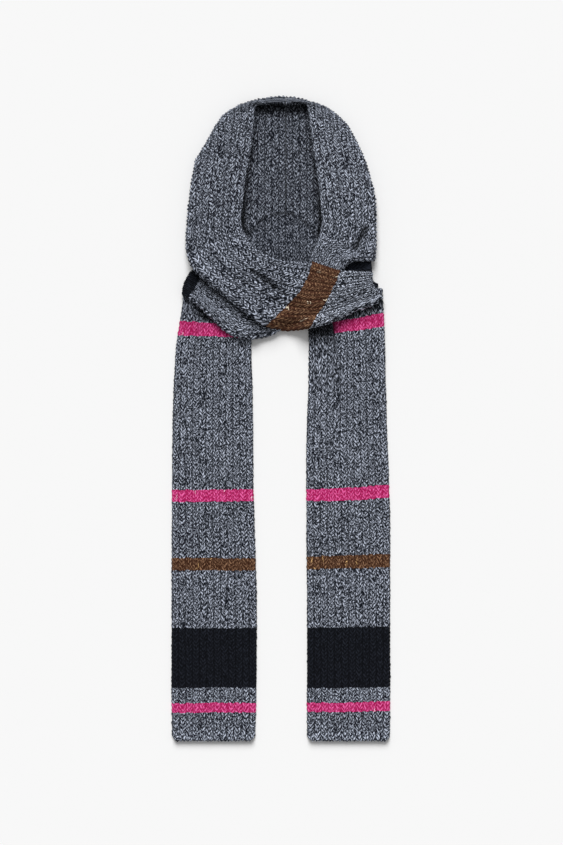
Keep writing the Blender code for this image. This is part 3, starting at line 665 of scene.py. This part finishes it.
def hood_half(name, table, side, creases, materials, seed):
    """Panel from the front edge to the fold at the outline, round it, and the back sheet to the seam."""
    rows = steps(HOOD_RUN, HOOD_ROW)
    places = even_places(HOOD_COLUMNS, table, (("fold_x", "fold_y"), ("edge_x", "edge_y")), rows + 1)
    row = spline(HOOD_COLUMNS, table, places)
    shares = (
        np.linspace(0, 1, steps(PANEL_RUN, FINE) + 1),
        np.linspace(0, 1, steps(TURN_RUN, TURN_STEP) + 1)[1:],
        np.concatenate((np.linspace(0, COVERED_SHARE, steps(COVERED_BACK_RUN, COARSE) + 1)[1:],
                        np.linspace(COVERED_SHARE, 1, steps(SHOWN_BACK_RUN, FINE) + 1)[1:])),
    )
    seam_x = SEAM_X + side * SEAM_GAP / 2
    edge_run = run_lengths(row["edge_x"], row["edge_y"])
    fold_run = run_lengths(row["fold_x"], row["fold_y"])
    grids = []
    for k in range(rows + 1):
        one = {key: values[k] for key, values in row.items()}
        one["base"] = HALF_WALL
        one["tuck"] = math.inf
        seam = np.array((seam_x, one["seam_y"]))
        outer = np.array((one["fold_x"], one["fold_y"]))
        inner = np.array((one["edge_x"], one["edge_y"]))
        if k == rows:
            outer[0] = seam_x
            inner[0] = seam_x
        grids.append(fold_line(one, inner, (inner + outer) / 2, outer, seam, shares))
    points, normals, lengths, share = (np.array([g[k] for g in grids]) for k in range(4))
    x, y = points[..., 0], points[..., 1]
    shows = np.clip(normals[..., 2], 0, 1)
    deep = trough(creases, x, y)
    points[..., 2] -= shows * deep

    run = edge_run[:, None] * (1 - share) + fold_run[:, None] * share
    u = lengths / WALE + 0.10 * wander(x, y, seed, 60)
    v = HOOD_COURSE + run / COURSE + 0.22 * wander(x, y, seed + 1, 70)
    from_seam = lengths[:, -1:] - lengths
    u_in = from_seam / WALE + 0.08 * wander(x, y, seed + 2, 60)
    v_in = y / COURSE + HOOD_COURSE + 0.2 * wander(x, y, seed + 3, 70)

    # Stitches stand out of the outline, further at the crown.
    bumps = knobs((y - side * x) / COURSE) + 0.4 * wander(x, y, seed + 4, 13)
    bumps *= 1 + 0.8 * np.clip((y - 560) / 14, 0, 1)
    edge_on = (1 - np.abs(normals[..., 2])) * KNOB * bumps
    outside = points + normals * (HALF_WALL + relief(u, v) + edge_on)[..., None]
    inside = points - normals * (HALF_WALL + relief(u_in, v_in, -1))[..., None]
    back = normals[..., 2] < -0.5
    outside[back] = (points + normals * HALF_WALL)[back]
    hidden = normals[..., 2] > 0.5
    inside[hidden] = (points - normals * HALF_WALL)[hidden]

    # Painted shade: darker inside under the panel, under the crown and beside the neck piece, and outside at
    # the crown's rim and in the creases.
    mouth = np.interp(y, row["edge_y"], np.abs(row["edge_x"] - seam_x))
    under_panel = np.exp(-((np.clip(mouth - from_seam, 0, None) / 9) ** 2))
    under_panel *= np.interp(y, (325, 345, 400, 430, 480, 560), (0.0, 0.95, 0.85, 0.55, 0.25, 0.15))
    under_crown = 0.7 * np.clip((y - 556) / 18, 0, 1)
    neck_side = column(NECK_COLUMNS, NECK, "left_x" if side < 0 else "right_x")
    arch = np.interp(-y, -column(NECK_COLUMNS, NECK, "y"), neck_side)
    beside_neck = 0.7 * np.exp(-(np.clip(side * (x - arch), 0, None) / 5) ** 2) * (y < 382) * (y > 325)
    deepest = np.maximum(np.maximum(under_panel, under_crown), beside_neck)
    crown_rim = 0.25 * np.clip((y - 568) / 14, 0, 1)
    painted_shade = np.where(back, deepest, np.maximum(crown_rim, shows * (1 - np.exp(-0.25 * deep))))
    return knit_object(
        name, grid_mesh(points.shape[1] - 1, rows), outside, inside,
        np.stack((u, v), axis=2), np.stack((u_in, v_in), axis=2), materials, painted_shade,
    )


def cad_tree(node_name):
    """A solid's faces, in millimetres, to cast rays at."""
    mesh = nodes[node_name].data
    faces = [tuple(p.vertices) for p in mesh.polygons]
    return BVHTree.FromPolygons([v.co / MM for v in mesh.vertices], faces)


LIFT_ROWS = 60
LIFT_COLUMNS = 30


def lift_field(table, node_name):
    """How far the stretch is lifted by what it lies on, read off its solid: by place and share across."""
    tree = cad_tree(node_name)
    places = np.linspace(0, len(table) - 1, LIFT_ROWS)
    rows = spline(WRAP_COLUMNS, table, places)
    shares = (np.linspace(0, 1, LIFT_COLUMNS), np.array([1.0]), np.array([1.0]))
    field = np.zeros((LIFT_ROWS, LIFT_COLUMNS))
    for k in range(LIFT_ROWS):
        points, normals, _, _ = wrap_line({key: values[k] for key, values in rows.items()}, shares)
        heights = np.full(LIFT_COLUMNS, np.nan)
        for n in range(LIFT_COLUMNS):
            x, y, z = points[n]
            hit = tree.ray_cast(Vector((x, y, 100)), Vector((0, 0, -1)))[0]
            if hit is not None:
                heights[n] = hit.z - z - (HALF_WALL + SOLID_RIB) * normals[n, 2]
        known = ~np.isnan(heights)
        numbers = np.arange(LIFT_COLUMNS)
        field[k] = np.interp(numbers, numbers[known], heights[known]) if known.any() else 0
        field[k] *= 1 - (1 - rows["held"][k]) * np.clip((shares[0] - 0.72) / 0.2, 0, 1)

    # Smoothed, and fading out towards the hood's panel.
    field = np.maximum(field, 0)
    for _ in range(2):
        wide = np.pad(field, 1, mode="edge")
        field = (wide[:-2, 1:-1] + 2 * wide[1:-1, 1:-1] + wide[2:, 1:-1]) / 4
        wide = np.pad(field, 1, mode="edge")
        field = (wide[1:-1, :-2] + 2 * wide[1:-1, 1:-1] + wide[1:-1, 2:]) / 4
    field *= np.clip(places / 0.6, 0, 1)[:, None]
    return field


def wrap_line(row, shares):
    """fold_line for a stretch: it is tucked back the way its curve ends, turned by the row's own turn."""
    inner = np.array((row["inner_x"], row["inner_y"]))
    middle = np.array((row["middle_x"], row["middle_y"]))
    outer = np.array((row["outer_x"], row["outer_y"]))
    ahead = outer - middle * 2 + (inner + outer) / 2
    angle = math.atan2(-ahead[1], -ahead[0]) + math.radians(row["turn"])
    seam = outer + (row["tuck"] + 1) * np.array((math.cos(angle), math.sin(angle)))
    return fold_line(row, inner, middle, outer, seam, shares)


def wrap(name, node_name, table, creases, materials, seed):
    """A stretch wound round the neck. Its ribs and courses run on from the hood's panel above it."""
    rows = steps(WRAP_RUN, ROW)
    paths = (("inner_x", "inner_y"), ("outer_x", "outer_y"))
    places = even_places(WRAP_COLUMNS, table, paths, rows + 1)
    row = spline(WRAP_COLUMNS, table, places)
    front_columns = steps(WRAP_FRONT_RUN, FINE)
    shares = (
        np.linspace(0, 1, front_columns + 1),
        np.linspace(0, 1, WRAP_TURN_STEPS + 1)[1:],
        np.linspace(0, 1, WRAP_TUCK_STEPS + 1)[1:],
    )
    lifts = lift_field(table, node_name)
    grids = [wrap_line({key: values[k] for key, values in row.items()}, shares) for k in range(rows + 1)]
    points, normals, lengths, share = (np.array([g[k] for g in grids]) for k in range(4))

    # Lifted by what it lies on, and lowered where no tail is under it.
    at_row = places / (len(table) - 1) * (LIFT_ROWS - 1)
    at_column = share * (LIFT_COLUMNS - 1)
    r0 = np.clip(at_row.astype(int), 0, LIFT_ROWS - 2)[:, None]
    c0 = np.clip(at_column.astype(int), 0, LIFT_COLUMNS - 2)
    fr = at_row[:, None] - r0
    fc = at_column - c0
    points[..., 2] += (
        (lifts[r0, c0] * (1 - fc) + lifts[r0, c0 + 1] * fc) * (1 - fr)
        + (lifts[r0 + 1, c0] * (1 - fc) + lifts[r0 + 1, c0 + 1] * fc) * fr
    )
    x, y = points[..., 0], points[..., 1]
    between = np.clip(3 - 3 * np.abs(x - SAG_X) / SAG_WIDTH, 0, 1) * np.clip((SAG_Y - y) / 30, 0, 1)
    points[..., 2] -= SAG * between * between * (3 - 2 * between)
    shows = np.clip(normals[..., 2], 0, 1)
    deep = trough(creases, x, y)
    points[..., 2] -= shows * deep

    front = lengths[:, front_columns]
    run = (run_lengths(row["inner_x"], row["inner_y"]) + run_lengths(row["outer_x"], row["outer_y"])) / 2
    u = lengths * (front[0] / front)[:, None] / WALE + 0.10 * wander(x, y, seed, 60)
    v = HOOD_COURSE - run[:, None] / COURSE + 0.22 * wander(x, y, seed + 1, 70)
    edge_on = (1 - np.abs(normals[..., 2])) * KNOB * (knobs(v) + 0.3 * wander(x, y, seed + 4, 13))

    # The free end is uneven, stitch by stitch.
    end = 1.3 * knobs(2 * u) + 1.3 * wander(x, y, seed + 4, 14)
    end = np.clip(1 - (run[-1] - run) / 5, 0, 1)[:, None] * end
    away = np.gradient(points[..., :2], axis=0)
    points[..., :2] += away / np.linalg.norm(away, axis=2)[..., None] * end[..., None]
    outside = points + normals * (HALF_WALL + relief(u, v) + edge_on)[..., None]
    inside = points - normals * HALF_WALL
    under = normals[..., 2] < -0.5
    outside[under] = (points + normals * HALF_WALL)[under]
    stitch = np.stack((u, v), axis=2)
    # The last argument is painted shade in the creases.
    return knit_object(
        name, grid_mesh(points.shape[1] - 1, rows), outside, inside, stitch, stitch, materials,
        shows * (1 - np.exp(-0.25 * deep)),
    )


def neck_piece(materials):
    """The neck piece inside the mouth, on its solid's form."""
    tree = cad_tree("neck_back")
    rows = steps(NECK_RUN, NECK_ROW)
    columns = steps(NECK_WIDTH, FINE)
    levels = column(NECK_COLUMNS, NECK, "y")
    y_line = np.linspace(levels[0], levels[-1], rows + 1)
    left = np.interp(-y_line, -levels, column(NECK_COLUMNS, NECK, "left_x"))
    right = np.interp(-y_line, -levels, column(NECK_COLUMNS, NECK, "right_x"))
    share = np.linspace(0, 1, columns + 1)
    x = left[:, None] + (right - left)[:, None] * share[None, :]
    y = np.repeat(y_line[:, None], columns + 1, axis=1)
    top = np.zeros(rows + 1)
    for k in range(rows + 1):
        above = Vector(((left[k] + right[k]) / 2, min(y_line[k], NECK_SOLID_END), 100))
        hit = tree.ray_cast(above, Vector((0, 0, -1)))[0]
        top[k] = hit.z if hit is not None else top[k - 1]
    top = np.convolve(np.pad(top, 4, mode="edge"), np.ones(9) / 9, mode="valid")
    u = (x - (left + right)[:, None] / 2) / WALE + 0.5 + 0.06 * wander(x, y, 31, 50)
    v = y / COURSE + 0.15 * wander(x, y, 32, 50)
    z = top[:, None] - SUNK + relief(u, v) - SUNK
    drop = np.clip(1 - share[None, :] * (right - left)[:, None] / 4, 0, 1)
    drop = drop + np.clip(1 - (1 - share[None, :]) * (right - left)[:, None] / 4, 0, 1)
    outside = np.stack((x, y, z - NECK_DROP * drop), axis=2)
    inside = np.stack((x, y, np.repeat(top[:, None] - WALL - SUNK, columns + 1, axis=1)), axis=2)
    stitch = np.stack((u, v), axis=2)
    # Painted shade at the side edges and along the top edge.
    painted_shade = 0.6 * np.maximum(drop, np.clip(1 - (levels[0] - y) / 4, 0, 1))
    return knit_object(
        "knit_neck", grid_mesh(columns, rows), outside, inside, stitch, stitch, materials, painted_shade,
    )


def heap_behind(materials):
    """The layers behind the neck: rounded, with steps at the edge for each folded layer."""
    rows = steps(CORE_RUN, CORE_ROW)
    places = even_places(CORE_COLUMNS, CORE, (("x", "low_y"), ("x", "high_y")), rows + 1)
    row = spline(CORE_COLUMNS, CORE, places)
    side = np.array(LAYERS)
    level = np.linspace(0, 1, steps(CORE_TOP_RUN, CORE_STEP) + 1)
    columns = 2 * len(side) + len(level) - 1
    size = row["height"] / CORE_FULL
    low = row["low_y"]
    high = row["high_y"]
    shoulder = np.minimum(10.0, (high - low) / 3)
    rings = []
    for k in range(rows + 1):
        first = np.stack((low[k] + side[:, 0] * size[k], side[:, 1] * size[k]), axis=1)
        y = low[k] + shoulder[k] + (high[k] - low[k] - 2 * shoulder[k]) * level
        top = np.stack((y, np.full_like(y, row["height"][k] - HALF_WALL)), axis=1)
        last = np.stack((high[k] - side[::-1, 0] * size[k], side[::-1, 1] * size[k]), axis=1)
        rings.append(np.concatenate((first, top, last)))
    rings = np.array(rings)
    x = np.repeat(row["x"][:, None], rings.shape[1], axis=1)
    y = rings[..., 0]
    u = run_along(rings) / WALE + 0.5
    v = x / COURSE
    shows = np.clip((rings[..., 1] - 2) / 6, 0, 1)
    z = rings[..., 1] + (relief(u, v) - SUNK) * shows
    outside = np.stack((x, y, z), axis=2)
    inside = np.stack((x, y, np.zeros_like(y)), axis=2)
    stitch = np.stack((u, v), axis=2)
    return knit_object("knit_behind", slab_mesh(columns, rows), outside, inside, stitch, stitch, materials)


def run_along(rings):
    """Length so far along each ring."""
    lengths = np.hypot(np.diff(rings[..., 0], axis=1), np.diff(rings[..., 1], axis=1))
    return np.concatenate((np.zeros((len(rings), 1)), np.cumsum(lengths, axis=1)), axis=1)


def tail(name, table, stripes, pleat, hidden_courses, pocket_shade, materials, seed):
    """A hanging end, flat on the surface, doubled beside the pleat at its top."""
    flat_line = np.linspace(HEM, TAIL_TOP, steps(TAIL_TOP - HEM, ROW) + 1)
    y_line = np.concatenate((np.full(HEM_ROWS, HEM), flat_line))
    rows = len(y_line) - 1
    columns = steps(TAIL_WIDTH, FINE)
    level = np.clip((np.arange(rows + 1) + 0.5) / (HEM_ROWS + 0.5), 0, 1)[:, None]
    shape = np.array(table)[::-1]
    places = np.interp(y_line, shape[:, 0], np.arange(len(shape)))
    edges = spline(TAIL_COLUMNS, shape, places)
    share = np.linspace(0, 1, columns + 1)
    left, right = edges["left_x"], edges["right_x"]
    x = left[:, None] + (right - left)[:, None] * share
    y = np.repeat(edges["y"][:, None], columns + 1, axis=1)

    # Courses by the tops of the stripes, which may slope from edge to edge.
    left_tops, right_tops, courses = (
        column(STRIPE_COLUMNS, stripes, name) for name in ("left_top", "right_top", "courses")
    )
    counts = np.concatenate(([0], np.cumsum(courses)))
    v = np.zeros_like(x)
    for n in range(columns + 1):
        lines = np.concatenate(([HEM], left_tops * (1 - share[n]) + right_tops * share[n]))
        v[:, n] = np.interp(y[:, n], lines, counts)

    # The part at the right of the pleat's line is raised, and the courses at its left are out of step.
    pleat = np.array(pleat, dtype=float)
    line = np.interp(-y, -pleat[:, 0], pleat[:, 1])
    rise = np.interp(-y, -pleat[:, 0], pleat[:, 2])
    step = np.clip((x - line) / PLEAT_STEP, 0, 1)
    step = step * step * (3 - 2 * step)
    u = share[None, :] * TAIL_WALES + 0.10 * wander(x, y, seed, 80)
    v = v + 0.12 * wander(x, y, seed + 1, 90)
    v = v + hidden_courses * (1 - step) * np.clip((y - 50) / 95, 0, 1)
    v = v - (1 - level) * HEM_COURSES

    # Rounded at the sides and the hem, with the thicker cast-off edge.
    from_side = np.minimum(share, 1 - share)[None, :] * (right - left)[:, None]
    from_hem = y - HEM
    round_side, round_hem = (
        np.sqrt(1 - (1 - np.clip(d / EDGE_ROUND, 0, 1)) ** 2) for d in (from_side, from_hem)
    )
    cast_off = HEM_RISE * np.exp(-((np.maximum(from_hem - 3, 0) / 8) ** 2))
    z = (WALL + relief(u, v) + cast_off) * (0.55 + 0.45 * round_side) * (0.8 + 0.2 * round_hem) + rise * step
    z = z * level

    # Stitches stand out of the sides and the hem, and the corners are rounded.
    uneven = 0.8 * wander(x, y, seed + 2, 14)
    knob_x = np.sign(share - 0.5)[None, :] * np.clip(1 - from_side / 2, 0, 1) * (1.6 * knobs(v) + uneven)
    knob_y = -np.clip(1 - from_hem / 2, 0, 1) * (1.3 * knobs(2 * u) + uneven - 0.8)
    corner = np.clip(1 - from_side / CORNER, 0, 1) * np.clip(1 - from_hem / CORNER, 0, 1)
    centre = (left + right)[:, None] / 2
    x = x + (centre - x) / np.abs(right - left)[:, None] * CORNER * corner**1.5
    y = y + CORNER / 2 * corner**1.5 - (level < 1) * 0.8 * (relief(u, v) - 1)
    outside = np.stack((x + knob_x, y + knob_y, z), axis=2)
    inside = np.stack((x, y, np.zeros_like(x)), axis=2)
    stitch = np.stack((u, v), axis=2)
    # Painted shade: in the pockets, along the edges of the cloth over the tail, and beside the pleat's step.
    painted_shade = 1 - np.exp(-0.18 * trough(pocket_shade, x, y))
    painted_shade = np.maximum(painted_shade, 0.5 * (1 - step) * np.clip(rise / 4, 0, 1) * np.exp(-((x - line) / 14) ** 2))
    return knit_object(name, slab_mesh(columns, rows), outside, inside, stitch, stitch, materials, painted_shade)


# Creases and pockets: from x, y to x, y, half width and depth, in millimetres. Creases are drawn into the
# surface and painted darker; pockets are painted shade alone, in hollows and along the edges of cloth over a
# tail.
CREASES_RIGHT = ((71, 306, 80, 338, 3.5, 6.0), (130, 300, 156, 349, 4.5, 6.0))
CREASES_OVER = ((-52, 271, -30, 256, 3.5, 7.0), (-30, 256, -11, 241, 4, 6.0), (-11, 241, 4, 230, 5, 2.4))
CREASES_UNDER = (
    (-150, 262, -137, 251, 3.2, 4.0),
    (-137, 251, -109, 230, 3.2, 4.0),
    (-109, 230, -81, 208, 3.2, 4.0),
    (-81, 208, -56, 188, 3.2, 4.0),
    (-56, 188, -26, 173, 3.2, 4.0),
)
POCKET_SHADE_LEFT = (
    (-148, 199, -137, 188, 5, 20.0),
    (-152, 193, -143, 187, 3, 10.0),
    (-134, 186, -106, 168, 4, 6.0),
    (-185, 176, -60, 166, 14, 0.7),
)
POCKET_SHADE_RIGHT = (
    (50, 164, 90, 166, 11, 16.0),
    (100, 190, 190, 218, 9, 8.0),
    (70, 178, 190, 190, 14, 0.7),
)

PLAIN = (("marl", 10),)
# The photo shows the upper stretch's free end lighter than the rest.
# It is drawn in a lighter copy of the marl: painted light.
OVER_STRIPES = (("lit_marl_painted", 38), ("wide_brown", 9), ("marl", 33))
UNDER_STRIPES = (("navy", 23), ("marl", 57))


def stripe_list(table):
    return tuple((yarn, courses) for yarn, courses, _, _ in table)


# Each piece's light level is painted light and shade: the inside of the hood (0.66) and the neck piece (0.5)
# are painted darker, and the other pieces lie between 0.91 and 1.08.
inside_left = knit_material("marled wool rib, inside of the hood at the left", PLAIN, 0.66, 3.0)
inside_right = knit_material("marled wool rib, inside of the hood at the right", PLAIN, 0.66, 7.0)
hood_left = hood_half("knit_hood_left", HOOD_LEFT, -1, (),
                      (knit_material("marled wool rib, hood left", PLAIN, 0.91, 1.0), inside_left), 11)
hood_right = hood_half("knit_hood_right", HOOD_RIGHT, 1, CREASES_RIGHT,
                       (knit_material("marled wool rib, hood right", PLAIN, 1.02, 5.0), inside_right), 21)
neck = neck_piece((knit_material("marled wool rib, neck piece", PLAIN, 0.5, 9.0),))
# Painted light: the navy behind the neck has its light ply's share raised sixfold, lifting it out of its
# shade.
behind = heap_behind((knit_material("navy wool rib", (("navy", 10),), 6.0, 13.0),))
over = wrap("knit_wrap_over", "wrap_over", WRAP_OVER, CREASES_OVER,
            (knit_material("striped wool rib, upper stretch", OVER_STRIPES, 0.99, 1.0),), 11)
under = wrap("knit_wrap_under", "wrap_under", WRAP_UNDER, CREASES_UNDER,
             (knit_material("striped wool rib, lower stretch", UNDER_STRIPES, 1.08, 5.0),), 21)
left_tail = tail("knit_left_tail", TAIL_LEFT, STRIPES_LEFT, PLEAT_LEFT, 0.0, POCKET_SHADE_LEFT,
                 (knit_material("striped wool rib, left end", stripe_list(STRIPES_LEFT), 0.97, 25.0),), 61)
right_tail = tail("knit_right_tail", TAIL_RIGHT, STRIPES_RIGHT, PLEAT_RIGHT, -4.5, POCKET_SHADE_RIGHT,
                  (knit_material("striped wool rib, right end", stripe_list(STRIPES_RIGHT), 1.0, 29.0),), 71)

finish_piece(hood_left, "hood_left")
finish_piece(hood_right, "hood_right")
finish_piece(neck, "neck_back")
finish_piece(over, "wrap_over")
finish_piece(under, "wrap_under")
finish_piece(left_tail, "left_tail")
finish_piece(right_tail, "right_tail")
finish_piece(behind, "wrap_behind")

# ---------------------------------------------------------------- studio

PIXEL = 1.85 * MM       # metres of the scarf to a pixel of the photo
PHOTO_HEIGHT = 845      # pixels
SENSOR = 36.0           # millimetres
CAMERA_HEIGHT = 3.2     # metres, and so on below
SCALE_LEVEL = 0.008     # where the photo's scale holds
AIM_X = 0.0009
AIM_Y = -0.0074
WINDOW_TILT = -50       # degrees, from straight above towards the crown's side
WINDOW_TURN = 4
WINDOW_WIDTH = 34
WINDOW_STRENGTH = 3.45
ROOM_STRENGTH = 0.36
FLOOR_SIZE = 30.0       # metres


def studio():
    bm = bmesh.new()
    bmesh.ops.create_grid(bm, x_segments=1, y_segments=1, size=FLOOR_SIZE)
    mesh = bpy.data.meshes.new("floor")
    bm.to_mesh(mesh)
    bm.free()
    floor = bpy.data.objects.new("floor", mesh)
    bpy.context.scene.collection.objects.link(floor)
    # Matte white paper: a pale ground that takes soft shadows and shows no shine.
    paper = bpy.data.materials.new("matte white paper")
    paper.use_nodes = True
    shader = paper.node_tree.nodes["Principled BSDF"]
    shader.inputs["Base Color"].default_value = (0.88, 0.88, 0.88, 1)
    shader.inputs["Roughness"].default_value = 0.9
    shader.inputs["Specular IOR Level"].default_value = 0.0
    mesh.materials.append(paper)

    world = bpy.data.worlds.new("soft white room")
    bpy.context.scene.world = world
    world.use_nodes = True
    background = world.node_tree.nodes["Background"]
    background.inputs[0].default_value = (1, 1, 1, 1)
    background.inputs[1].default_value = ROOM_STRENGTH

    sun = bpy.data.lights.new("window from the crown side", "SUN")
    sun.energy = WINDOW_STRENGTH
    sun.angle = math.radians(WINDOW_WIDTH)
    lamp = bpy.data.objects.new("window from the crown side", sun)
    lamp.rotation_euler = (math.radians(WINDOW_TILT), 0, math.radians(WINDOW_TURN))
    bpy.context.scene.collection.objects.link(lamp)

    data = bpy.data.cameras.new("overhead camera")
    camera = bpy.data.objects.new("overhead camera", data)
    bpy.context.scene.collection.objects.link(camera)
    data.sensor_fit = "VERTICAL"
    data.sensor_height = SENSOR
    data.sensor_width = SENSOR
    data.lens = SENSOR * (CAMERA_HEIGHT - SCALE_LEVEL) / (PHOTO_HEIGHT * PIXEL)
    camera.location = (AIM_X, AIM_Y, CAMERA_HEIGHT)
    camera.rotation_euler = (0, 0, 0)
    bpy.context.scene.camera = camera
    bpy.context.scene.view_settings.view_transform = "Standard"


studio()
